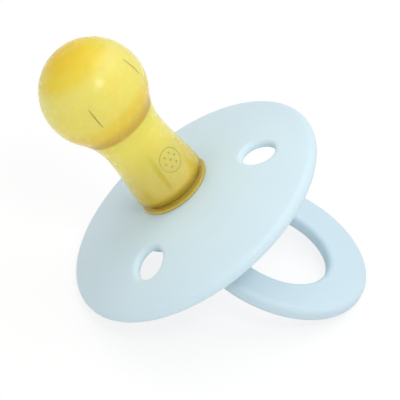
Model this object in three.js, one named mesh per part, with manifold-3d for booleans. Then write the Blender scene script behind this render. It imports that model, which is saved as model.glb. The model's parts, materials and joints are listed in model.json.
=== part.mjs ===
// A round natural-rubber pacifier: latex nipple, domed shield, inner plug, knob and ring handle.
// Millimetres, +Z up. The pacifier lies on a flat surface, resting on the shield's rim and the ring.
// Each piece is drawn in the nipple's own frame, with +Z along the nipple and the origin at the
// middle of the shield's front face, and the whole group is then turned to lie down.
import * as THREE from "three";
import { mergeVertices } from "three/addons/utils/BufferGeometryUtils.js";
import Module from "manifold-3d";

const wasm = await Module();
wasm.setup();

// ---- driving dimensions -------------------------------------------------------------------

const seatGap = 0.3; // clearance between pieces that are pressed or clamped together
const hingeGap = 0.2; // radial clearance of the ring's bar in the knob

// shield
const shieldRadius = 21.5;
const shieldCrown = 4.8; // drop of the front face from its middle to its edge
const crownRoundShare = 0.84; // share of the drop that is a plain bowl; the rest is near the edge
const shieldWall = 1.5;
const rimThickness = 2.6;
const ventRadius = 2.4;
const ventOffset = 13.5; // from the nipple's axis to a vent's centre
const ventAngles = [0, 115, -115]; // degrees from the ring's side
const neckHoleRadius = 4.9;

// nipple
const nippleWall = 1.2;
const bulbRadius = 8.05;
const bulbCrown = 8.2; // from the bulb's widest place to its tip
const bulbHeight = 20.7; // widest place of the bulb above the shield
const waistRadius = 5.0; // thinnest place of the neck
const bulbBlendRadius = 12;
const flareRadius = 5.6; // neck where it swells over the plug
const flareTop = 9.8;
const flareBottom = 1.6;
const lipThickness = 0.55;
const lipRadius = 5.65;
const lipGrooveRadius = 5.3;
const flangeRadius = 7.6; // the latex flange behind the shield
const flangeThickness = 1.2;

// plug
const plugTop = 6.8; // height of its round head above the shield
const plugSlotWidth = 0.9;
const plugSlotAngle = -77; // degrees from the ring's side
const stemLength = 5.0; // below the back of the shield
const snapBead = 0.2;

// knob
const knobFlangeRadius = 9.4;
const knobFlangeThickness = 1.3;
const knobBossRadius = 5.8;
const knobEdgeRadius = 2.0;
const knobBackWall = 1.4; // behind the ring's bar
const mouthNarrowing = 0.5; // how much narrower the snap-in mouth is than the bar

// ring
const hingeDepth = 9.8; // ring's hinge axis behind the middle of the shield's front face
const ringReach = 10.4; // from the hinge to the centre of the ring
const ringOuterRadius = 14.9;
const ringInnerRadius = 8.6;
const ringThickness = 2.4;
const ringEdgeRadius = 0.9;
const ringBarRadius = 1.4;
const ringHeelRadius = 1.3; // round ends of the two arms beside the knob
const ringCornerRadius = 1.2; // inside the opening, where it widens round the knob
const ringRestAngle = 56; // degrees from the shield's plane down to the ring, as it lies

// ---- shapes shared by the pieces ----------------------------------------------------------

// Height of the shield's front face, and its slope, at a distance from the nipple's axis.
function frontHeight(radius) {
  const share = radius / shieldRadius;
  return -shieldCrown * (crownRoundShare * share ** 2 + (1 - crownRoundShare) * share ** 4);
}

function frontSlope(radius) {
  const share = radius / shieldRadius;
  const rise = crownRoundShare * 2 * share + (1 - crownRoundShare) * 4 * share ** 3;
  return (-shieldCrown * rise) / shieldRadius;
}

// A point at a depth behind the front face, measured square to that face.
function behindFront(radius, depth) {
  const angle = Math.atan(frontSlope(radius));
  return [radius + Math.sin(angle) * depth, frontHeight(radius) - Math.cos(angle) * depth];
}

// Points of a round stretch, angles in degrees, both ends included.
function arc(centreX, centreY, radius, from, to, steps) {
  const points = [];
  for (let i = 0; i <= steps; i++) {
    const angle = THREE.MathUtils.degToRad(from + ((to - from) * i) / steps);
    points.push([centreX + radius * Math.cos(angle), centreY + radius * Math.sin(angle)]);
  }
  return points;
}

function directionOf(x, y) {
  return THREE.MathUtils.radToDeg(Math.atan2(y, x));
}

// A solid turned round the nipple's axis from an outline of [radius, height] points.
function turned(outline, segments) {
  let doubleArea = 0;
  outline.forEach(([x, y], i) => {
    const [nextX, nextY] = outline[(i + 1) % outline.length];
    doubleArea += x * nextY - nextX * y;
  });
  const points = outline.map(([x, y]) => new THREE.Vector2(x, y));
  if (doubleArea < 0) points.reverse();
  const onAxis = points[0].x < 1e-6 && points[points.length - 1].x < 1e-6;
  if (!onAxis) points.push(points[0].clone());
  return new THREE.LatheGeometry(points, segments).rotateX(Math.PI / 2);
}

function solidOf(geometry) {
  const bare = geometry.clone();
  bare.deleteAttribute("normal");
  bare.deleteAttribute("uv");
  const merged = mergeVertices(bare, 1e-4);
  return new wasm.Manifold(
    new wasm.Mesh({
      numProp: 3,
      vertProperties: new Float32Array(merged.attributes.position.array),
      triVerts: new Uint32Array(merged.index.array),
    }),
  );
}

function geometryOf(solid) {
  const mesh = solid.getMesh();
  const geometry = new THREE.BufferGeometry();
  geometry.setAttribute("position", new THREE.BufferAttribute(mesh.vertProperties, 3));
  geometry.setIndex(new THREE.BufferAttribute(mesh.triVerts, 1));
  geometry.computeVertexNormals();
  return geometry;
}

function without(geometry, cutters) {
  let solid = solidOf(geometry);
  for (const cutter of cutters) solid = solid.subtract(solidOf(cutter));
  return geometryOf(solid);
}

function box(width, depth, height, centre) {
  return new THREE.BoxGeometry(width, depth, height).translate(...centre);
}

// ---- heights that several pieces share ----------------------------------------------------

const flangeFront = behindFront(flangeRadius, shieldWall)[1] - seatGap;
const flangeBack = flangeFront - flangeThickness;
const throatOuter = neckHoleRadius - seatGap; // the latex where it passes the shield
const throatInner = throatOuter - nippleWall;
const lipBottom = seatGap;
const lipTop = lipBottom + lipThickness;
const shoulderHeight = lipTop; // inner step that the plug's head sits on
const recessFloor = flangeBack - seatGap;
const knobFlangeBack = recessFloor - knobFlangeThickness;
const boreRadius = ringBarRadius + hingeGap;
const knobBack = -hingeDepth - boreRadius - knobBackWall;
const stemRadius = throatInner - seatGap;
const stemEnd = -shieldWall - stemLength;
const beadHeight = recessFloor + (stemEnd - recessFloor) / 2;

// ---- nipple -------------------------------------------------------------------------------

// Outer outline of bulb and neck, moved inwards by inset, from the neck's foot up to the tip.
function teatOutline(inset, foot) {
  const bulb = bulbRadius - inset;
  const crown = bulbCrown - inset;
  const waist = waistRadius - inset;
  const blend = bulbBlendRadius + inset;
  const blendX = waist + blend;
  const blendY = bulbHeight - Math.sqrt((bulb + blend) ** 2 - blendX ** 2);
  const blendDirection = directionOf(blendX, blendY - bulbHeight);
  const points = [];
  const flareSteps = 5;
  for (let i = 0; i < flareSteps; i++) {
    const height = foot + ((flareTop - foot) * i) / flareSteps;
    const share = THREE.MathUtils.smoothstep(flareTop - height, 0, flareTop - flareBottom);
    points.push([waist + (flareRadius - waistRadius) * share, height]);
  }
  points.push(...arc(blendX, blendY, blend, 180, 180 + blendDirection, 6));
  points.push(...arc(0, bulbHeight, bulb, blendDirection, 0, 4).slice(1));
  for (const [x, y] of arc(0, 0, 1, 0, 90, 8).slice(1)) {
    points.push([bulb * x, bulbHeight + crown * y]);
  }
  points[points.length - 1][0] = 0;
  return points;
}

function nipple() {
  const outside = [
    [throatInner, flangeBack],
    [flangeRadius, flangeBack],
    [flangeRadius, flangeFront],
    [throatOuter, flangeFront],
    [throatOuter, lipBottom],
    [lipRadius, lipBottom],
    [lipRadius, lipTop],
    [lipGrooveRadius, lipTop + (flareBottom - lipTop) / 3],
    ...teatOutline(0, flareBottom),
  ];
  const inside = [[throatInner, shoulderHeight], ...teatOutline(nippleWall, shoulderHeight)];
  return turned([...inside.reverse(), ...outside], 36);
}

// ---- plug ---------------------------------------------------------------------------------

function plug() {
  const headRadius = waistRadius - nippleWall - seatGap;
  const headBottom = shoulderHeight + seatGap;
  const outline = [
    [0, stemEnd],
    [stemRadius, stemEnd],
    [stemRadius, beadHeight - 2 * snapBead],
    [stemRadius + snapBead, beadHeight],
    [stemRadius, beadHeight + 2 * snapBead],
    [stemRadius, headBottom],
    [headRadius, headBottom],
    ...arc(0, plugTop - headRadius, headRadius, 0, 90, 6),
  ];
  outline[outline.length - 1][0] = 0;
  const slotDepth = plugTop - headBottom;
  const slot = box(3 * headRadius, plugSlotWidth, 2 * slotDepth, [0, 0, plugTop])
    .rotateZ(THREE.MathUtils.degToRad(plugSlotAngle));
  return without(turned(outline, 32), [slot]);
}

// ---- shield -------------------------------------------------------------------------------

function rimCentre() {
  // The edge circle touches the front face from behind and reaches out to the shield's radius.
  let radius = shieldRadius;
  for (let i = 0; i < 20; i++) {
    radius += shieldRadius - rimThickness / 2 - behindFront(radius, rimThickness / 2)[0];
  }
  return { touch: radius, centre: behindFront(radius, rimThickness / 2) };
}

function shield() {
  const { touch, centre } = rimCentre();
  const front = [];
  const back = [];
  const steps = 9;
  const swellShare = 0.8; // the wall thickens to the rim over the rest of the way out
  for (let i = 0; i <= steps; i++) {
    const radius = neckHoleRadius + ((touch - neckHoleRadius) * i) / steps;
    front.push([radius, frontHeight(radius)]);
    const swell = THREE.MathUtils.smoothstep(i / steps, swellShare, 1);
    const depth = shieldWall + (rimThickness - shieldWall) * swell;
    back.push(i === 0 ? [radius, frontHeight(radius) - depth] : behindFront(radius, depth));
  }
  const faceDirection = directionOf(touch - centre[0], frontHeight(touch) - centre[1]);
  const rim = arc(...centre, rimThickness / 2, faceDirection, faceDirection - 180, 6);
  const plate = turned([...front, ...rim.slice(1, -1), ...back.reverse()], 56);
  const vents = ventAngles.map((angle) => {
    const direction = THREE.MathUtils.degToRad(angle);
    const height = 2 * shieldCrown + 2 * shieldWall;
    return new THREE.CylinderGeometry(ventRadius, ventRadius, height, 24)
      .rotateX(Math.PI / 2)
      .translate(ventOffset * Math.cos(direction), ventOffset * Math.sin(direction), 0);
  });
  return without(plate, vents);
}

// ---- knob ---------------------------------------------------------------------------------

function knob() {
  const socketRadius = stemRadius + seatGap;
  const socketFloor = stemEnd - seatGap;
  const recessRadius = flangeRadius + seatGap;
  const rimTop = behindFront(knobFlangeRadius, shieldWall)[1] - seatGap;
  const edge = knobEdgeRadius;
  const bossEdge = arc(knobBossRadius - edge, knobBack + edge, edge, 0, -90, 5);
  const outline = [
    [0, socketFloor],
    [socketRadius, socketFloor],
    [socketRadius, beadHeight - 2 * snapBead],
    [socketRadius + snapBead, beadHeight],
    [socketRadius, beadHeight + 2 * snapBead],
    [socketRadius, recessFloor],
    [recessRadius, recessFloor],
    [recessRadius, rimTop],
    [knobFlangeRadius, rimTop],
    ...arc(knobFlangeRadius - 1, knobFlangeBack + 1, 1, 0, -90, 3),
    [knobBossRadius, knobFlangeBack],
    ...bossEdge,
    [0, knobBack],
  ];
  const bore = new THREE.CylinderGeometry(boreRadius, boreRadius, 4 * knobBossRadius, 20)
    .translate(0, 0, -hingeDepth);
  const mouthWidth = 2 * ringBarRadius - mouthNarrowing;
  const mouth = box(mouthWidth, 4 * knobFlangeRadius, hingeDepth, [0, 0, -hingeDepth / 2]);
  return without(turned(outline, 40), [bore, mouth]);
}

// ---- ring ---------------------------------------------------------------------------------

// Half of the ring's flat outline, from its outer tip round one arm to the inner tip.
function ringHalfOutline() {
  const knobPass = knobBossRadius + hingeGap + seatGap / 2;
  const heelFromKnob = knobPass + ringHeelRadius;
  const heelFromRing = ringOuterRadius - ringHeelRadius;
  const heelX = (heelFromKnob ** 2 - heelFromRing ** 2 + ringReach ** 2) / (2 * ringReach);
  const heelY = Math.sqrt(heelFromKnob ** 2 - heelX ** 2);
  const cornerFromKnob = knobPass + ringCornerRadius;
  const cornerFromRing = ringInnerRadius + ringCornerRadius;
  const cornerX = (cornerFromKnob ** 2 - cornerFromRing ** 2 + ringReach ** 2) / (2 * ringReach);
  const cornerY = Math.sqrt(cornerFromKnob ** 2 - cornerX ** 2);
  const outerEnd = directionOf(heelX - ringReach, heelY);
  const heelSide = directionOf(heelX, heelY);
  const cornerSide = directionOf(cornerX, cornerY);
  const innerStart = directionOf(cornerX - ringReach, cornerY);
  return [
    ...arc(ringReach, 0, ringOuterRadius, 0, outerEnd, 18),
    ...arc(heelX, heelY, ringHeelRadius, outerEnd, heelSide + 180, 4).slice(1),
    ...arc(0, 0, knobPass, heelSide, cornerSide, 3).slice(1),
    ...arc(cornerX, cornerY, ringCornerRadius, cornerSide + 180, innerStart + 180, 4).slice(1),
    ...arc(ringReach, 0, ringInnerRadius, innerStart, 0, 14).slice(1),
  ];
}

// The ring lies in its own XY plane, with its hinge along Y through the origin.
function ring() {
  const half = ringHalfOutline();
  const mirrored = half.slice(1, -1).reverse().map(([x, y]) => [x, -y]);
  const outline = [...half, ...mirrored].map(([x, y]) => new THREE.Vector2(x, y));
  const plate = new THREE.ExtrudeGeometry(new THREE.Shape(outline), {
    depth: ringThickness - 2 * ringEdgeRadius,
    bevelThickness: ringEdgeRadius,
    bevelSize: ringEdgeRadius,
    bevelOffset: -ringEdgeRadius,
    bevelSegments: 3,
    curveSegments: 1,
  }).translate(0, 0, ringEdgeRadius - ringThickness / 2);
  const barLength = 2 * (knobBossRadius + 2 * ringHeelRadius);
  const bar = new THREE.CylinderGeometry(ringBarRadius, ringBarRadius, barLength, 20);
  return geometryOf(solidOf(plate).add(solidOf(bar)));
}

// ---- assembly -----------------------------------------------------------------------------

const latex = new THREE.MeshStandardMaterial({ color: "#e6ce62", roughness: 0.3 });
const palePlastic = new THREE.MeshStandardMaterial({ color: "#cfe5ee", roughness: 0.45 });

function piece(name, geometry, material) {
  const mesh = new THREE.Mesh(geometry, material);
  mesh.name = name;
  return mesh;
}

const ringHandle = piece("ring_handle", ring(), palePlastic);
ringHandle.position.set(0, 0, -hingeDepth);
ringHandle.rotation.y = THREE.MathUtils.degToRad(ringRestAngle);

const group = new THREE.Group();
group.add(
  piece("nipple", nipple(), latex),
  piece("plug", plug(), palePlastic),
  piece("shield", shield(), palePlastic),
  piece("knob", knob(), palePlastic),
  ringHandle,
);

// Angle of the nipple's frame when the shield's rim and the ring's tip both touch the surface.
function lyingAngle() {
  const [rimX, rimZ] = rimCentre().centre;
  const restAngle = THREE.MathUtils.degToRad(ringRestAngle);
  const reach = ringReach + ringOuterRadius - ringEdgeRadius;
  const side = ringThickness / 2 - ringEdgeRadius;
  const tipX = reach * Math.cos(restAngle) - side * Math.sin(restAngle);
  const tipZ = -hingeDepth - reach * Math.sin(restAngle) - side * Math.cos(restAngle);
  const run = Math.hypot(tipX + rimX, tipZ - rimZ);
  const slope = Math.atan2(tipZ - rimZ, tipX + rimX);
  return slope - Math.asin((ringEdgeRadius - rimThickness / 2) / run);
}

group.rotation.y = lyingAngle();
group.updateMatrixWorld(true);
const extent = new THREE.Box3().setFromObject(group, true);
const middle = extent.getCenter(new THREE.Vector3());
group.position.set(-middle.x, -middle.y, -extent.min.z);
group.updateMatrixWorld(true);

export default group;
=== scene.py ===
# %% [markdown]
# # A round natural-rubber pacifier
#
# This lesson builds the looks of a small pacifier round a fixed CAD model. It has a hollow nipple
# of natural rubber latex, a plug inside the nipple's neck, a domed shield with three vents, a knob
# behind the shield, and a ring handle that hinges in the knob.
#
# The CAD model is loaded first. It is already in metres and lying down as it would on a table, so
# each new piece is drawn upright, with the nipple pointing up, and then laid down the same way.

import json
import math

import bmesh
import bpy
from mathutils import Matrix, Vector


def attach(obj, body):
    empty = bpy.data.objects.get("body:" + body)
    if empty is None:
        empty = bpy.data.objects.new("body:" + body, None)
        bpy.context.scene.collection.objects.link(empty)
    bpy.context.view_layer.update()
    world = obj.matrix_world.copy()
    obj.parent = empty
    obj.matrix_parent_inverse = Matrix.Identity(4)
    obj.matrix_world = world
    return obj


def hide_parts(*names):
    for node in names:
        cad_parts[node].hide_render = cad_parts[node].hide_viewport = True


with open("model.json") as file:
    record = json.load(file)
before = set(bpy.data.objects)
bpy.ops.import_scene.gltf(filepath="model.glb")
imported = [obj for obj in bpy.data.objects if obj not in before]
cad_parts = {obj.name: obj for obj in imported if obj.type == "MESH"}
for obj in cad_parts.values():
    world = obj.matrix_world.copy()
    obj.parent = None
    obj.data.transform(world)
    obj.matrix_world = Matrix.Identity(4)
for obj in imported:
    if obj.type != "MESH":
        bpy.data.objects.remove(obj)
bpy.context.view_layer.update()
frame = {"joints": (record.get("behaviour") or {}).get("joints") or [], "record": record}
MM = 0.001

# %% [markdown]
# ## Where the pieces lie
#
# The CAD record says where the flat back of the knob is and which way it faces. The nipple points
# the other way, so the middle of the shield's front face lies 12.8 mm in front of that back. The
# record's hinge gives the axis that the ring turns on, and the ring's own flat back gives its
# angle. Reading these keeps the new pieces on the CAD model, with no fitting by eye.

# %% The two frames that the pieces are drawn in
mounts = {mount["name"]: mount for mount in frame["record"]["mounts"]}
hinge = frame["joints"][0]
knob_depth = 12.8 * MM

nipple_up = -Vector(mounts["knob_back"]["axis"])
shield_middle = Vector(mounts["knob_back"]["pos_m"]) + nipple_up * knob_depth
nipple_tilt = math.atan2(nipple_up.x, nipple_up.z)

ring_up = -Vector(mounts["ring_back_face"]["axis"])
ring_tilt = math.atan2(ring_up.x, ring_up.z)
hinge_middle = Vector(hinge["pos_m"])
print("nipple leans", round(math.degrees(nipple_tilt), 2), "degrees")
print("ring leans", round(math.degrees(ring_tilt), 2), "degrees")

# %% [markdown]
# ## Small helpers for modelling
#
# Every operator acts on what is selected, so a helper selects one piece and nothing else. A second
# helper picks faces, edges or vertices by a test on their middle, in place of clicking on them.

# %% Selecting
def only(piece):
    """Selects this piece and nothing else, in object mode."""
    if bpy.context.mode != "OBJECT":
        bpy.ops.object.mode_set(mode="OBJECT")
    bpy.ops.object.select_all(action="DESELECT")
    piece.select_set(True)
    bpy.context.view_layer.objects.active = piece
    return piece


def middle_of(part):
    if isinstance(part, bmesh.types.BMVert):
        return part.co
    return sum((v.co for v in part.verts), Vector()) / len(part.verts)


def pick(piece, kind, test):
    """Goes to edit mode and selects the "VERT", "EDGE" or "FACE" parts whose middle passes."""
    bpy.ops.object.mode_set(mode="EDIT")
    bpy.ops.mesh.select_mode(type=kind)
    bpy.ops.mesh.select_all(action="DESELECT")
    shape = bmesh.from_edit_mesh(piece.data)
    parts = {"VERT": shape.verts, "EDGE": shape.edges, "FACE": shape.faces}[kind]
    chosen = [part for part in parts if test(middle_of(part))]
    for part in chosen:
        part.select_set(True)
    bmesh.update_edit_mesh(piece.data)
    return len(chosen)


# %% [markdown]
# ## Drawing an outline and turning it
#
# Most pieces are round, as moulded parts usually are. On a lathe the shape is one outline turned
# round an axis. Here the outline is drawn by extruding one vertex from point to point, and Spin
# turns it. Spin can leave the faces looking inwards, so the seam is merged and the normals are
# recalculated straight afterwards.

# %% Outlines
def arc(centre_x, centre_y, radius, start, end, steps):
    """Points of a round stretch, angles in degrees, both ends included."""
    points = []
    for i in range(steps + 1):
        angle = math.radians(start + (end - start) * i / steps)
        points.append(
            (centre_x + radius * math.cos(angle), centre_y + radius * math.sin(angle))
        )
    return points


def draw(name, points, closed=True):
    """A line of vertices through 3-D points in mm, extruded one from the other."""
    bpy.ops.object.select_all(action="DESELECT")
    bpy.ops.mesh.primitive_plane_add(size=MM)
    piece = bpy.context.object
    piece.name = name
    piece.data.name = name
    bpy.ops.object.mode_set(mode="EDIT")
    bpy.ops.mesh.select_mode(type="VERT")
    bpy.ops.mesh.select_all(action="SELECT")
    bpy.ops.mesh.merge(type="CENTER")
    bpy.ops.transform.translate(value=Vector(points[0]) * MM)
    for here, there in zip(points, points[1:]):
        step = (Vector(there) - Vector(here)) * MM
        bpy.ops.mesh.extrude_vertices_move(TRANSFORM_OT_translate={"value": step})
    if closed:
        first, last = Vector(points[0]) * MM, Vector(points[-1]) * MM
        near = 1e-3 * MM
        pick(piece, "VERT", lambda at: (at - first).length < near or (at - last).length < near)
        bpy.ops.mesh.edge_face_add()
    return piece


def turned(name, outline, steps, closed=True):
    """A piece turned round Z from an outline of (radius, height) points in mm."""
    piece = draw(name, [(x, 0, z) for x, z in outline], closed)
    bpy.ops.mesh.select_all(action="SELECT")
    bpy.ops.mesh.spin(steps=steps, angle=2 * math.pi, center=(0, 0, 0), axis=(0, 0, 1))
    bpy.ops.mesh.select_all(action="SELECT")
    bpy.ops.mesh.remove_doubles(threshold=2e-3 * MM)
    bpy.ops.mesh.normals_make_consistent(inside=False)
    bpy.ops.object.mode_set(mode="OBJECT")
    return piece


# %% Cutting, rounding and laying a piece down
def cut(piece, cutter):
    """Takes the cutter's shape out of the piece, and the cutter goes."""
    only(piece)
    change = piece.modifiers.new("cut", "BOOLEAN")
    change.operation = "DIFFERENCE"
    change.solver = "EXACT"
    change.object = cutter
    bpy.ops.object.modifier_apply(modifier=change.name)
    bpy.data.objects.remove(cutter)


def lay_down(piece, tilt, place):
    """Leans the upright piece over and moves it to its place, all of it in the mesh."""
    only(piece)
    piece.matrix_world = Matrix.Translation(place) @ Matrix.Rotation(tilt, 4, "Y")
    bpy.ops.object.transform_apply(location=True, rotation=True, scale=True)


def finish_piece(piece, body, node, angle=35):
    """Smooths the piece's shading and says what it rides on and stands for."""
    only(piece)
    bpy.ops.object.shade_smooth_by_angle(angle=math.radians(angle))
    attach(piece, body)
    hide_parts(node)
    faces = len(piece.data.polygons)
    print(piece.name, "has", faces, "faces and stands for", node)


# %% [markdown]
# ## The shield
#
# The shield keeps the nipple's mouth side at the lips: a thin round bowl, 43 mm across, moulded in
# polypropylene. Its face drops 4.8 mm from the middle to the edge, and the edge is thicker and
# fully rounded, so that it is soft on the skin. It could be cut from a ball with booleans, but an
# outline gives the exact bowl and the rounded rim in one go.

# %% The bowl
shield_radius = 21.5
shield_crown = 4.8
bowl_share = 0.84
shield_wall = 1.5
rim_thickness = 2.6
neck_hole_radius = 4.9


def front_height(radius):
    """Height of the shield's front face at a distance from the nipple's axis, in mm."""
    share = radius / shield_radius
    return -shield_crown * (bowl_share * share**2 + (1 - bowl_share) * share**4)


def front_slope(radius):
    share = radius / shield_radius
    rise = 2 * bowl_share * share + 4 * (1 - bowl_share) * share**3
    return -shield_crown * rise / shield_radius


def behind_front(radius, depth):
    """A point at a depth behind the front face, measured square to it."""
    angle = math.atan(front_slope(radius))
    return (radius + math.sin(angle) * depth, front_height(radius) - math.cos(angle) * depth)


def rim_touch():
    """Where the rim's circle touches the front face from behind."""
    radius = shield_radius
    for _ in range(20):
        reach = behind_front(radius, rim_thickness / 2)[0]
        radius += shield_radius - rim_thickness / 2 - reach
    return radius


touch = rim_touch()
rim_centre = behind_front(touch, rim_thickness / 2)
back_end = behind_front(touch, rim_thickness)


def back_height(radius):
    """Height of the shield's back at a distance from the axis. It swells towards the rim."""
    share = (radius - neck_hole_radius) / (back_end[0] - neck_hole_radius)
    swell = min(max((share - 0.78) / 0.22, 0), 1)
    swell = swell * swell * (3 - 2 * swell)
    depth = shield_wall / math.cos(math.atan(front_slope(radius)))
    thin = front_height(radius) - depth
    gap = back_end[1] - (front_height(back_end[0]) - shield_wall / 0.9)
    return thin + gap * swell


bowl_steps = 34
span = back_end[0] - neck_hole_radius
radii = [neck_hole_radius + span * i / bowl_steps for i in range(bowl_steps + 1)]
face_direction = math.degrees(math.atan2(front_height(touch) - rim_centre[1], touch - rim_centre[0]))
rim = arc(*rim_centre, rim_thickness / 2, face_direction, face_direction - 180, 18)
front_line = [(r, front_height(r)) for r in radii]
back_line = [(r, back_height(r)) for r in radii[:-1]]
shield = turned("shield_plate", front_line + rim + back_line[::-1], 180)
print("shield faces before the vents:", len(shield.data.polygons))

# %% [markdown]
# ## The vents
#
# Three round vents keep air moving behind the shield. A boolean would cut them quickly, but it
# leaves long thin faces that show on such a smooth bowl. So the faces at each vent are deleted,
# the ragged edge is pulled into a circle, and rings are extruded inwards along a rounded corner.
# The front and back edges are then bridged into the wall of the hole.

# %% Three rounded holes
vent_radius = 2.45
vent_offset = 13.5
vent_round = 0.74
vent_angles = (0, 115, -115)
vent_middles = [
    Vector((vent_offset * math.cos(math.radians(a)), vent_offset * math.sin(math.radians(a)), 0))
    for a in vent_angles
]
open_radius = vent_radius + vent_round


def flat_distance(at, middle):
    return math.hypot(at.x / MM - middle.x, at.y / MM - middle.y)


def surface_height(x, y, is_front):
    radius = math.hypot(x, y)
    return front_height(radius) if is_front else back_height(radius)


def move_to_circle(piece, middle, radius, depth, is_front):
    """Moves the selected vertices to a circle round the vent, at a depth into the wall."""
    shape = bmesh.from_edit_mesh(piece.data)
    for v in shape.verts:
        if not v.select:
            continue
        angle = math.atan2(v.co.y / MM - middle.y, v.co.x / MM - middle.x)
        edge_x = middle.x + open_radius * math.cos(angle)
        edge_y = middle.y + open_radius * math.sin(angle)
        height = surface_height(edge_x, edge_y, is_front) + (-depth if is_front else depth)
        x = middle.x + radius * math.cos(angle)
        y = middle.y + radius * math.sin(angle)
        v.co = Vector((x, y, height)) * MM
    bmesh.update_edit_mesh(piece.data)


def is_front_side(at):
    radius = math.hypot(at.x, at.y) / MM
    return at.z / MM > (front_height(radius) + back_height(radius)) / 2


def select_open_edge(piece, middle, is_front):
    """Selects the open edge round a vent, on one side of the shield."""
    bpy.ops.mesh.select_mode(type="EDGE")
    bpy.ops.mesh.select_all(action="DESELECT")
    shape = bmesh.from_edit_mesh(piece.data)
    for edge in shape.edges:
        at = middle_of(edge)
        near = flat_distance(at, middle) < open_radius + 1
        uncut = flat_distance(at, middle) > vent_radius + vent_round / 2
        if edge.is_boundary and near and uncut and is_front_side(at) == is_front:
            edge.select_set(True)
    bmesh.update_edit_mesh(piece.data)


only(shield)
for middle in vent_middles:
    pick(shield, "FACE", lambda at: flat_distance(at, middle) < open_radius + 0.12)
    bpy.ops.mesh.delete(type="FACE")
    for is_front in (True, False):
        select_open_edge(shield, middle, is_front)
        move_to_circle(shield, middle, open_radius, 0, is_front)
        for step in range(1, 8):
            turn = math.radians(90 * step / 7)
            bpy.ops.mesh.extrude_edges_move()
            inwards = vent_radius + vent_round * (1 - math.sin(turn))
            depth = vent_round * (1 - math.cos(turn))
            move_to_circle(shield, middle, inwards, depth, is_front)
    bpy.ops.mesh.select_all(action="DESELECT")
    shape = bmesh.from_edit_mesh(shield.data)
    for edge in shape.edges:
        if edge.is_boundary and flat_distance(middle_of(edge), middle) < vent_radius + 0.2:
            edge.select_set(True)
    bmesh.update_edit_mesh(shield.data)
    bpy.ops.mesh.bridge_edge_loops()
bpy.ops.mesh.select_all(action="SELECT")
bpy.ops.mesh.normals_make_consistent(inside=False)
lay_down(shield, nipple_tilt, shield_middle)
finish_piece(shield, "pacifier_body", "shield")

# %% [markdown]
# ## The nipple
#
# The nipple is dipped and moulded in one piece of natural rubber latex, about 1.2 mm thick and
# hollow. It has a round bulb, a thinner neck that swells over the plug, a small lip that sits on
# the shield, and a flange behind it. Light passes both walls, so the wall is modelled inside and
# out, as one closed outline turned round the axis.

# %% The latex outline
latex_wall = 1.2
bulb_radius = 8.05
bulb_crown = 8.2
bulb_height = 20.7
waist_radius = 5.0
bulb_blend_radius = 12
flare_radius = 5.6
flare_top = 9.8
flare_bottom = 1.5
throat_outer = 4.6
throat_inner = throat_outer - latex_wall
flange_radius = 7.6
flange_front = behind_front(flange_radius, shield_wall)[1] - 0.1
flange_back = flange_front - 1.3
shoulder_height = 0.85


def teat_outline(inset, foot):
    """Neck and bulb from the foot up to the tip, moved inwards by the inset."""
    bulb, crown, waist = bulb_radius - inset, bulb_crown - inset, waist_radius - inset
    blend = bulb_blend_radius + inset
    blend_x = waist + blend
    blend_y = bulb_height - math.sqrt((bulb + blend) ** 2 - blend_x**2)
    direction = math.degrees(math.atan2(blend_y - bulb_height, blend_x))
    points = []
    for i in range(16):
        height = foot + (flare_top - foot) * i / 16
        share = min(max((flare_top - height) / (flare_top - flare_bottom), 0), 1)
        share = share * share * (3 - 2 * share)
        points.append((waist + (flare_radius - waist_radius) * share, height))
    points += arc(blend_x, blend_y, blend, 180, 180 + direction, 20)
    points += arc(0, bulb_height, bulb, direction, 0, 12)[1:]
    for x, y in arc(0, 0, 1, 0, 90, 28)[1:]:
        points.append((max(bulb * x, 0), bulb_height + crown * y))
    return points


lip_low = front_height(5.65) + 0.04
foot = [
    (throat_inner, flange_back),
    (flange_radius - 0.2, flange_back),
    (flange_radius, flange_back + 0.2),
    (flange_radius, flange_front - 0.1),
    (flange_radius - 0.1, flange_front),
    (throat_outer, flange_front),
    (throat_outer, lip_low),
    (5.5, lip_low),
    (5.66, lip_low + 0.1),
    (5.72, lip_low + 0.28),
    (5.66, lip_low + 0.46),
    (5.48, lip_low + 0.58),
    (5.24, lip_low + 0.68),
    (5.1, lip_low + 0.86),
    (5.16, lip_low + 1.06),
    (5.36, lip_low + 1.24),
    (5.52, lip_low + 1.44),
]
inside = [(throat_inner, shoulder_height)] + teat_outline(latex_wall, shoulder_height)
nipple = turned("latex_nipple", inside[::-1] + foot + teat_outline(0, flare_bottom), 112)
print("nipple faces:", len(nipple.data.polygons))

# %% [markdown]
# ## Marks of the mould
#
# The bulb carries two short fine ridges along the nipple, where the halves of a mould meet, and
# the neck carries a small raised roundel. The roundel here is a plain ring with a pattern of pips.
# Each mark is a primitive laid on the latex by wrapping it round the axis, and then joined to it.

# %% Ridges and roundel
def latex_radius(height):
    """Radius of the latex at a height, read off its outline."""
    outline = teat_outline(0, flare_bottom)
    for (x0, z0), (x1, z1) in zip(outline, outline[1:]):
        if z0 <= height <= z1 and z1 > z0:
            return x0 + (x1 - x0) * (height - z0) / (z1 - z0)
    return outline[-1][0]


def wrap(mark, azimuth, height):
    """Lays a flat mark, with its face up, on the latex at a direction and height."""
    base = latex_radius(height)
    for v in mark.data.vertices:
        z = height + v.co.y / MM
        angle = math.radians(azimuth) + v.co.x / MM / base
        radius = latex_radius(z) + v.co.z / MM
        v.co = Vector((radius * math.cos(angle), radius * math.sin(angle), z)) * MM


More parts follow.
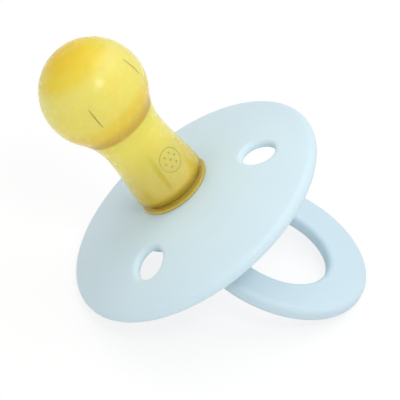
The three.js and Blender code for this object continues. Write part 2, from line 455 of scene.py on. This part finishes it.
def ridge(azimuth, height, length, width, rise):
    bpy.ops.object.select_all(action="DESELECT")
    bpy.ops.mesh.primitive_uv_sphere_add(segments=16, ring_count=24, radius=MM)
    mark = bpy.context.object
    bpy.ops.object.mode_set(mode="EDIT")
    bpy.ops.mesh.select_all(action="SELECT")
    bpy.ops.transform.rotate(value=math.pi / 2, orient_axis="X", center_override=(0, 0, 0))
    bpy.ops.transform.resize(value=(width / 2, length / 2, rise))
    bpy.ops.object.mode_set(mode="OBJECT")
    wrap(mark, azimuth, height)
    return mark


def roundel_ring(azimuth, height, radius, thickness):
    bpy.ops.object.select_all(action="DESELECT")
    bpy.ops.mesh.primitive_torus_add(
        major_radius=radius * MM,
        minor_radius=thickness / 2 * MM,
        major_segments=56,
        minor_segments=8,
    )
    mark = bpy.context.object
    wrap(mark, azimuth, height)
    return mark


def pip(azimuth, height, across, along):
    bpy.ops.object.select_all(action="DESELECT")
    bpy.ops.mesh.primitive_uv_sphere_add(segments=12, ring_count=8, radius=MM)
    mark = bpy.context.object
    bpy.ops.object.mode_set(mode="EDIT")
    bpy.ops.mesh.select_all(action="SELECT")
    bpy.ops.transform.resize(value=(0.2, 0.2, 0.06))
    bpy.ops.transform.translate(value=(across * MM, along * MM, 0))
    bpy.ops.object.mode_set(mode="OBJECT")
    wrap(mark, azimuth, height)
    return mark


roundel_azimuth, roundel_height = -43, 6.4
marks = [
    ridge(-83.5, 21.1, 3.9, 0.2, 0.04),
    ridge(-10, 22.0, 3.9, 0.2, 0.04),
    roundel_ring(roundel_azimuth, roundel_height, 1.85, 0.14),
]
for i in range(6):
    angle = math.radians(60 * i)
    marks.append(
        pip(roundel_azimuth, roundel_height, 1.05 * math.cos(angle), 1.05 * math.sin(angle))
    )
marks.append(pip(roundel_azimuth, roundel_height, 0, 0))

# The skins are told apart by their slots: 0 outside, 1 inside, 2 for the marks.
for slot_name in ("outside", "inside", "mark"):
    nipple.data.materials.append(bpy.data.materials.new(slot_name))
for face in nipple.data.polygons:
    at = face.center / MM
    is_inside = at.z > shoulder_height and math.hypot(at.x, at.y) < latex_radius(at.z) - 0.6
    face.material_index = 1 if is_inside else 0
for mark in marks:
    mark.data.materials.append(nipple.data.materials["mark"])
only(nipple)
for mark in marks:
    mark.select_set(True)
bpy.context.view_layer.objects.active = nipple
bpy.ops.object.join()
lay_down(nipple, nipple_tilt, shield_middle)
finish_piece(nipple, "pacifier_body", "nipple")

# %% [markdown]
# ## The plug
#
# A pale plastic plug fills the neck and locks the latex to the knob. Its round head shows through
# the latex as a cloudy patch with one dark slot in it. The slot is a thin box cut out of the head.

# %% Plug with its slot
plug_top = 6.8
plug_head_radius = waist_radius - latex_wall - 0.15
plug_head_bottom = shoulder_height + 0.1
stem_radius = throat_inner - 0.12
stem_end = -6.5
plug_outline = [(0, stem_end), (stem_radius - 0.4, stem_end), (stem_radius, stem_end + 0.4)]
plug_outline += [(stem_radius, plug_head_bottom), (plug_head_radius, plug_head_bottom)]
plug_outline += arc(0, plug_top - plug_head_radius, plug_head_radius, 0, 90, 14)
plug_outline[-1] = (0, plug_top)
plug = turned("neck_plug", plug_outline, 64, closed=False)

slot_width = 0.9
slot_angle = math.radians(-77)
bpy.ops.object.select_all(action="DESELECT")
bpy.ops.mesh.primitive_cube_add(size=1)
slot = bpy.context.object
bpy.ops.object.mode_set(mode="EDIT")
bpy.ops.mesh.select_all(action="SELECT")
bpy.ops.transform.resize(value=(12 * MM, slot_width * MM, 12 * MM))
bpy.ops.transform.translate(value=(0, 0, (plug_head_bottom + 0.8 + 6) * MM))
bpy.ops.object.mode_set(mode="OBJECT")
slot.rotation_euler = (0, 0, slot_angle)
bpy.ops.object.transform_apply(location=True, rotation=True, scale=True)
cut(plug, slot)
lay_down(plug, nipple_tilt, shield_middle)
finish_piece(plug, "pacifier_body", "plug")

# %% [markdown]
# ## The knob
#
# Behind the shield a knob covers the latex flange and holds the ring. A slot across it, a little
# narrower than the ring's bar, lets the bar snap in. It is turned from an outline like the shield,
# with soft edges, and the bar's bore and its slot are cut out of it.

# %% Knob with the bar's bore
hinge_depth = 9.8
bore_radius = 1.6
knob_back = -knob_depth / MM
knob_flange_radius = 9.4
knob_boss_radius = 5.8
recess_floor = flange_back - 0.12
flange_low = recess_floor - 1.4
flange_top = behind_front(knob_flange_radius, shield_wall)[1] - 0.1
socket_radius = stem_radius + 0.15
socket_floor = stem_end - 0.2
knob_outline = [(0, socket_floor), (socket_radius, socket_floor), (socket_radius, recess_floor)]
knob_outline += [(flange_radius + 0.2, recess_floor), (flange_radius + 0.2, flange_top)]
knob_outline += [(knob_flange_radius - 0.15, flange_top), (knob_flange_radius, flange_top - 0.15)]
knob_outline += arc(knob_flange_radius - 1, flange_low + 1, 1, 0, -90, 10)
knob_outline += arc(knob_boss_radius + 0.6, flange_low - 0.6, 0.6, 90, 180, 6)
knob_outline += arc(knob_boss_radius - 2, knob_back + 2, 2, 0, -90, 14)
knob_outline += [(0, knob_back)]
knob = turned("knob_boss", knob_outline, 120, closed=False)

bpy.ops.object.select_all(action="DESELECT")
bpy.ops.mesh.primitive_cylinder_add(
    vertices=64, radius=bore_radius * MM, depth=24 * MM, rotation=(math.pi / 2, 0, 0)
)
bore = bpy.context.object
bore.location.z = -hinge_depth * MM
bpy.ops.object.transform_apply(location=True, rotation=True, scale=True)
cut(knob, bore)

mouth_width = 2.3
bpy.ops.object.select_all(action="DESELECT")
bpy.ops.mesh.primitive_cube_add(size=1)
mouth = bpy.context.object
mouth.scale = (mouth_width * MM, 38 * MM, hinge_depth * MM)
mouth.location.z = -hinge_depth / 2 * MM
bpy.ops.object.transform_apply(location=True, rotation=True, scale=True)
cut(knob, mouth)
lay_down(knob, nipple_tilt, shield_middle)
finish_piece(knob, "pacifier_body", "knob", angle=30)

# %% [markdown]
# ## The ring handle
#
# The ring is a flat round handle with soft edges, open towards the knob, and a bar across the gap
# is its hinge. Its outline is drawn once round, filled, extruded to its thickness, and the upper
# and lower edges are bevelled in small steps. The bar is a cylinder whose ends are drawn in, so
# that they end inside the arms.

# %% The ring's outline
ring_reach = 10.4
ring_outer = 14.9
ring_inner = 8.6
ring_thickness = 2.4
ring_edge = 0.9
heel_radius = 1.3
corner_radius = 1.2
knob_pass = knob_boss_radius + 0.35


def meeting(from_knob, from_ring):
    """Where circles round the knob and round the ring's centre meet, on the +Y side."""
    x = (from_knob**2 - from_ring**2 + ring_reach**2) / (2 * ring_reach)
    return x, math.sqrt(from_knob**2 - x**2)


def direction(x, y):
    return math.degrees(math.atan2(y, x))


heel = meeting(knob_pass + heel_radius, ring_outer - heel_radius)
corner = meeting(knob_pass + corner_radius, ring_inner + corner_radius)
outer_end = direction(heel[0] - ring_reach, heel[1])
inner_start = direction(corner[0] - ring_reach, corner[1])
heel_side = direction(*heel)
corner_side = direction(*corner)
half = arc(ring_reach, 0, ring_outer, 0, outer_end, 64)
half += arc(*heel, heel_radius, outer_end, heel_side + 180, 12)[1:]
half += arc(0, 0, knob_pass, heel_side, corner_side, 10)[1:]
half += arc(*corner, corner_radius, corner_side + 180, inner_start + 180, 12)[1:]
half += arc(ring_reach, 0, ring_inner, inner_start, 0, 44)[1:]
other_half = [(x, -y) for x, y in half[1:-1]][::-1]
low = -ring_thickness / 2
ring = draw("ring_loop", [(x, y, low) for x, y in half + other_half])
bpy.ops.mesh.select_all(action="SELECT")
bpy.ops.mesh.edge_face_add()
up = {"value": (0, 0, ring_thickness * MM)}
bpy.ops.mesh.extrude_region_move(TRANSFORM_OT_translate=up)
bpy.ops.mesh.select_all(action="SELECT")
bpy.ops.mesh.normals_make_consistent(inside=False)

# %% Soft edges and the hinge bar
flat = ring_thickness / 2 * MM
pick(ring, "EDGE", lambda at: abs(abs(at.z) - flat) < 1e-3 * MM)
bpy.ops.mesh.bevel(offset=ring_edge * MM, segments=7, profile=0.5, affect="EDGES")
bpy.ops.object.mode_set(mode="OBJECT")
print("ring faces:", len(ring.data.polygons))

bar_radius = 1.4
bpy.ops.object.select_all(action="DESELECT")
bpy.ops.mesh.primitive_cylinder_add(
    vertices=48, radius=bar_radius * MM, depth=2 * knob_pass * MM, rotation=(math.pi / 2, 0, 0)
)
bar = bpy.context.object
bpy.ops.object.transform_apply(location=True, rotation=True, scale=True)
for side in (-1, 1):
    pick(bar, "FACE", lambda at: abs(at.y - side * knob_pass * MM) < 1e-3 * MM)
    outwards = {"value": (0, side * 1.6 * MM, 0)}
    bpy.ops.mesh.extrude_region_move(TRANSFORM_OT_translate=outwards)
    bpy.ops.transform.resize(value=(0.7, 1, 0.7))
bpy.ops.object.mode_set(mode="OBJECT")
only(ring)
join = ring.modifiers.new("bar", "BOOLEAN")
join.operation = "UNION"
join.solver = "EXACT"
join.object = bar
bpy.ops.object.modifier_apply(modifier=join.name)
bpy.data.objects.remove(bar)
lay_down(ring, ring_tilt, hinge_middle)
finish_piece(ring, "ring", "ring_handle", angle=30)

# %% [markdown]
# ## Helpers for materials
#
# Colours are written as on the web and turned to the linear values that Blender works in. One
# function adds a node with its settings and links.

# %% Colour and nodes
def colour(text):
    """An sRGB hex colour as linear red, green, blue and alpha."""
    parts = [int(text[i : i + 2], 16) / 255 for i in (1, 3, 5)]
    linear = [p / 12.92 if p <= 0.04045 else ((p + 0.055) / 1.055) ** 2.4 for p in parts]
    return (*linear, 1)


def add(tree, kind, settings=None, links=None):
    """Adds a node. Settings are its inputs or its own properties, links go into its inputs."""
    made = tree.nodes.new(kind)
    for name, value in (settings or {}).items():
        if isinstance(name, str) and hasattr(made, name):
            setattr(made, name, value)
        else:
            made.inputs[name].default_value = value
    for name, socket in (links or {}).items():
        tree.links.new(socket, made.inputs[name])
    return made


def new_material(name):
    made = bpy.data.materials.new(name)
    made.use_nodes = True
    made.node_tree.nodes.clear()
    return made, made.node_tree


# %% [markdown]
# ## Moulded polypropylene
#
# The shield, knob, ring and plug are polypropylene, a waxy plastic moulded in a tool with a fine
# satin finish. Light enters it a little, so its shade edges are soft. Its gloss is broad and dim.
# The satin grain of the tool is about 0.05 mm, too fine to show, and is drawn at 0.35 mm.

# %% The plastic
def plastic(name, main, deep, glow_share):
    made, tree = new_material(name)
    place = add(tree, "ShaderNodeTexCoord").outputs["Object"]
    cloud = add(tree, "ShaderNodeTexNoise", {"Scale": 110, "Detail": 2}, {"Vector": place})
    tint = add(
        tree,
        "ShaderNodeMix",
        {"data_type": "RGBA", 6: colour(deep), 7: colour(main)},
        {0: cloud.outputs["Fac"]},
    )
    grain = add(tree, "ShaderNodeTexNoise", {"Scale": 2900, "Detail": 3}, {"Vector": place})
    gloss = add(
        tree,
        "ShaderNodeMapRange",
        {"From Min": 0.3, "From Max": 0.7, "To Min": 0.42, "To Max": 0.54},
        {"Value": grain.outputs["Fac"]},
    )
    bump = add(
        tree,
        "ShaderNodeBump",
        {"Strength": 0.25, "Distance": 0.00002},
        {"Height": grain.outputs["Fac"]},
    )
    shader = add(
        tree,
        "ShaderNodeBsdfPrincipled",
        {
            "IOR": 1.49,
            "Subsurface Weight": glow_share,
            "Subsurface Radius": (1, 1, 1),
            "Subsurface Scale": 0.0012,
            "Specular IOR Level": 0.4,
        },
        {
            "Base Color": tint.outputs[2],
            "Roughness": gloss.outputs["Result"],
            "Normal": bump.outputs["Normal"],
        },
    )
    add(tree, "ShaderNodeOutputMaterial", links={"Surface": shader.outputs["BSDF"]})
    return made


polypropylene = plastic("moulded_polypropylene", "#d5e9f1", "#cfe4ed", 0.3)
# The ring's copy of the plastic is deeper: partly the ring's own bluer tint, partly painted shade
# that tones the ring down where the lamps light it more than the shield.
ring_polypropylene_tint_and_painted_shade = plastic("ring_polypropylene_tint_and_painted_shade", "#cde1ea", "#c7dce6", 0.1)
for piece in (shield, knob, ring, plug):
    piece.data.materials.clear()
    piece.data.materials.append(ring_polypropylene_tint_and_painted_shade if piece is ring else polypropylene)

# %% [markdown]
# ## Natural rubber latex
#
# Latex is amber and cloudy: most light scatters inside the wall, and a little goes straight
# through, so that the plug shows in the neck. Subsurface scattering gives the glow, and an Alpha
# below one lets the share through. The outer skin takes most of the colour. The inner skin is
# more open, so that two walls aren't as dense as four. The mould was polished, so the gloss is
# soft but clear. The colour follows the height along the nipple, and part of it is painted shade:
# a dark band in the groove above the lip, a dark band at the crease under the bulb, and a deeper
# tint at the tip. The marks of the mould are deeper in colour, painted shade that makes the fine
# ridges read as dark lines.

# %% The latex
def ramp(tree, source, stops):
    """A colour ramp through (position, colour) stops."""
    made = add(tree, "ShaderNodeValToRGB", links={"Fac": source})
    made.color_ramp.interpolation = "EASE"
    marks_of_ramp = made.color_ramp.elements
    while len(marks_of_ramp) < len(stops):
        marks_of_ramp.new(0.5)
    for element, (position, tone) in zip(marks_of_ramp, stops):
        element.position = position
        element.color = colour(tone)
    return made.outputs["Color"]


nipple_length = 30


def rubber(name, tones, solid, neck_solid):
    """Latex whose tones, painted shade among them, follow the height along the nipple, given in mm
    above the shield.
    """
    made, tree = new_material(name)
    place = add(tree, "ShaderNodeTexCoord").outputs["Object"]
    upright_place = add(
        tree,
        "ShaderNodeMapping",
        {
            "vector_type": "TEXTURE",
            "Location": shield_middle,
            "Rotation": (0, nipple_tilt, 0),
            "Scale": (MM, MM, MM),
        },
        {"Vector": place},
    )
    height = add(tree, "ShaderNodeSeparateXYZ", links={0: upright_place.outputs[0]}).outputs["Z"]
    cloud = add(tree, "ShaderNodeTexNoise", {"Scale": 140, "Detail": 2}, {"Vector": place})
    along = add(
        tree,
        "ShaderNodeMapRange",
        {"From Min": 0, "From Max": nipple_length},
        {"Value": height},
    )
    tone = ramp(tree, along.outputs[0], [(at / nipple_length, text) for at, text in tones])
    amber = add(
        tree,
        "ShaderNodeMix",
        {"data_type": "RGBA", "blend_type": "MULTIPLY", 7: colour("#fff8d8")},
        {0: cloud.outputs["Fac"], 6: tone},
    )
    thin = add(
        tree,
        "ShaderNodeMapRange",
        {"From Min": 7, "From Max": 12, "To Min": neck_solid, "To Max": solid},
        {"Value": height},
    )
    skin = add(tree, "ShaderNodeTexNoise", {"Scale": 900, "Detail": 2}, {"Vector": place})
    gloss = add(
        tree,
        "ShaderNodeMapRange",
        {"From Min": 0.3, "From Max": 0.7, "To Min": 0.2, "To Max": 0.3},
        {"Value": skin.outputs["Fac"]},
    )
    bump = add(
        tree,
        "ShaderNodeBump",
        {"Strength": 0.12, "Distance": 0.00003},
        {"Height": skin.outputs["Fac"]},
    )
    shader = add(
        tree,
        "ShaderNodeBsdfPrincipled",
        {
            "IOR": 1.42,
            "Subsurface Weight": 1,
            "Subsurface Radius": (1, 0.7, 0.2),
            "Subsurface Scale": 0.0008,
        },
        {
            "Base Color": amber.outputs[2],
            "Alpha": thin.outputs[0],
            "Roughness": gloss.outputs["Result"],
            "Normal": bump.outputs["Normal"],
        },
    )
    add(tree, "ShaderNodeOutputMaterial", links={"Surface": shader.outputs["BSDF"]})
    return made


# Heights in mm with colours. Some stops are painted shade, as marked below.
latex_tones_with_painted_shade = [
    (0.1, "#e0c648"),
    # painted shade: the dark band from 0.4 to 1.3 mm lies in the groove above the lip
    (0.4, "#d8ba3c"),
    (0.7, "#b89a1c"),
    (1.3, "#c4a622"),
    (2.4, "#f6df5c"),
    (9, "#ffec68"),
    (14.2, "#ffee6c"),
    # painted shade: the dark stop at 14.8 mm is the crease under the bulb, fading out by 17.4 mm
    (14.8, "#d6b010"),
    (17.4, "#f8dc46"),
    (20.5, "#ffee80"),
    (25, "#ffef88"),
    # painted shade: the deeper tint at the tip stands for the wall seen edge-on
    (27.4, "#fae248"),
    (29, "#f4d626"),
]
skins = {
    "outside": rubber("natural_rubber_latex", latex_tones_with_painted_shade, 0.82, 0.6),
    "inside": rubber("natural_rubber_latex_inside", latex_tones_with_painted_shade, 0.35, 0.2),
    # The marks' deeper colour is painted shade, so that the fine ridges read as dark lines.
    "mark": rubber("natural_rubber_latex_mark_painted_shade", [(0, "#fbe468"), (30, "#e6c648")], 0.4, 0.4),
}
for slot in nipple.material_slots:
    blank = slot.material
    slot.material = skins[blank.name]
    bpy.data.materials.remove(blank)

# %% [markdown]
# ## Floor, background and light
#
# The pacifier lies on a plain white sweep. The floor mixes a white glow into what the camera sees,
# so that the background is white and a soft shadow stays. One soft lamp above and in front makes
# the small highlight, a wide one overhead lights the shield, and the white room fills the rest.

# %% The floor
floor_size = 3.0
bpy.ops.object.select_all(action="DESELECT")
bpy.ops.mesh.primitive_plane_add(size=floor_size)
floor = bpy.context.object
floor.name = "studio_floor"

paper, tree = new_material("white_sweep")
rays = add(tree, "ShaderNodeLightPath")
seen = add(
    tree,
    "ShaderNodeMath",
    {"operation": "MAXIMUM"},
    {0: rays.outputs["Is Camera Ray"], 1: rays.outputs["Is Glossy Ray"]},
)
seen = add(
    tree,
    "ShaderNodeMath",
    {"operation": "MAXIMUM"},
    {0: seen.outputs[0], 1: rays.outputs["Is Transmission Ray"]},
)
share = add(tree, "ShaderNodeMath", {"operation": "MULTIPLY", 1: 0.8}, {0: seen.outputs[0]})
matt = add(tree, "ShaderNodeBsdfDiffuse", {"Color": colour("#f4f4f4")})
glow = add(tree, "ShaderNodeEmission", {"Color": (1, 1, 1, 1), "Strength": 1.02})
both = add(
    tree,
    "ShaderNodeMixShader",
    links={0: share.outputs[0], 1: matt.outputs["BSDF"], 2: glow.outputs["Emission"]},
)
add(tree, "ShaderNodeOutputMaterial", links={"Surface": both.outputs["Shader"]})
floor.data.materials.append(paper)

# %% The white room
world = bpy.data.worlds.new("white_room")
bpy.context.scene.world = world
world.use_nodes = True
tree = world.node_tree
tree.nodes.clear()
rays = add(tree, "ShaderNodeLightPath")
seen = add(
    tree,
    "ShaderNodeMath",
    {"operation": "MAXIMUM"},
    {0: rays.outputs["Is Camera Ray"], 1: rays.outputs["Is Transmission Ray"]},
)
fill = add(tree, "ShaderNodeBackground", {"Color": (1, 1, 1, 1), "Strength": 0.64})
white = add(tree, "ShaderNodeBackground", {"Color": (1, 1, 1, 1), "Strength": 1})
both = add(
    tree,
    "ShaderNodeMixShader",
    links={0: seen.outputs[0], 1: fill.outputs[0], 2: white.outputs[0]},
)
add(tree, "ShaderNodeOutputWorld", links={"Surface": both.outputs["Shader"]})

# %% The lamps
def lamp(name, direction_to, distance, size, watts):
    """A square soft lamp that looks at the shield from a direction."""
    data = bpy.data.lights.new(name, "AREA")
    data.shape = "SQUARE"
    data.size = size
    data.energy = watts
    made = bpy.data.objects.new(name, data)
    bpy.context.scene.collection.objects.link(made)
    away = Vector(direction_to).normalized()
    made.location = Vector((0, 0, 0.02)) + away * distance
    made.rotation_mode = "QUATERNION"
    made.rotation_quaternion = (-away).to_track_quat("-Z", "Y")
    return made


key_lamp = lamp("key_lamp", (0.19, -0.57, 0.80), 0.7, 0.14, 1.2)
top_lamp = lamp("top_lamp", (0.3, 0.2, 0.9), 0.8, 0.7, 2.2)

# %% [markdown]
# ## The camera
#
# The camera stands in front, about 37 degrees above the table, half a metre away with a long lens,
# which keeps the small object free of strong perspective. It is rolled by two degrees.

# %% Camera
azimuth, elevation, roll = math.radians(-1.48), math.radians(37.45), math.radians(1.94)
distance = 0.5
pixels_per_metre = 6734
aim = Vector((0, 0, 0.020))
slide_right, slide_up = -0.00088, -0.00399

back = Vector(
    (
        math.sin(azimuth) * math.cos(elevation),
        -math.cos(azimuth) * math.cos(elevation),
        math.sin(elevation),
    )
)
level = Vector((math.cos(azimuth), math.sin(azimuth), 0))
upright = back.cross(level)
side = level * math.cos(roll) + upright * math.sin(roll)
head = upright * math.cos(roll) - level * math.sin(roll)
camera_data = bpy.data.cameras.new("camera")
camera_data.sensor_width = 36
camera_data.lens = pixels_per_metre * distance * 36 / 400
camera_data.clip_start, camera_data.clip_end = 0.01, 10
camera = bpy.data.objects.new("camera", camera_data)
bpy.context.scene.collection.objects.link(camera)
turn = Matrix((side, head, back)).transposed().to_4x4()
place = aim + side * slide_right + head * slide_up + back * distance
camera.matrix_world = Matrix.Translation(place) @ turn
bpy.context.scene.camera = camera
bpy.context.scene.view_settings.view_transform = "Standard"
print("lens in mm:", round(camera_data.lens, 1))
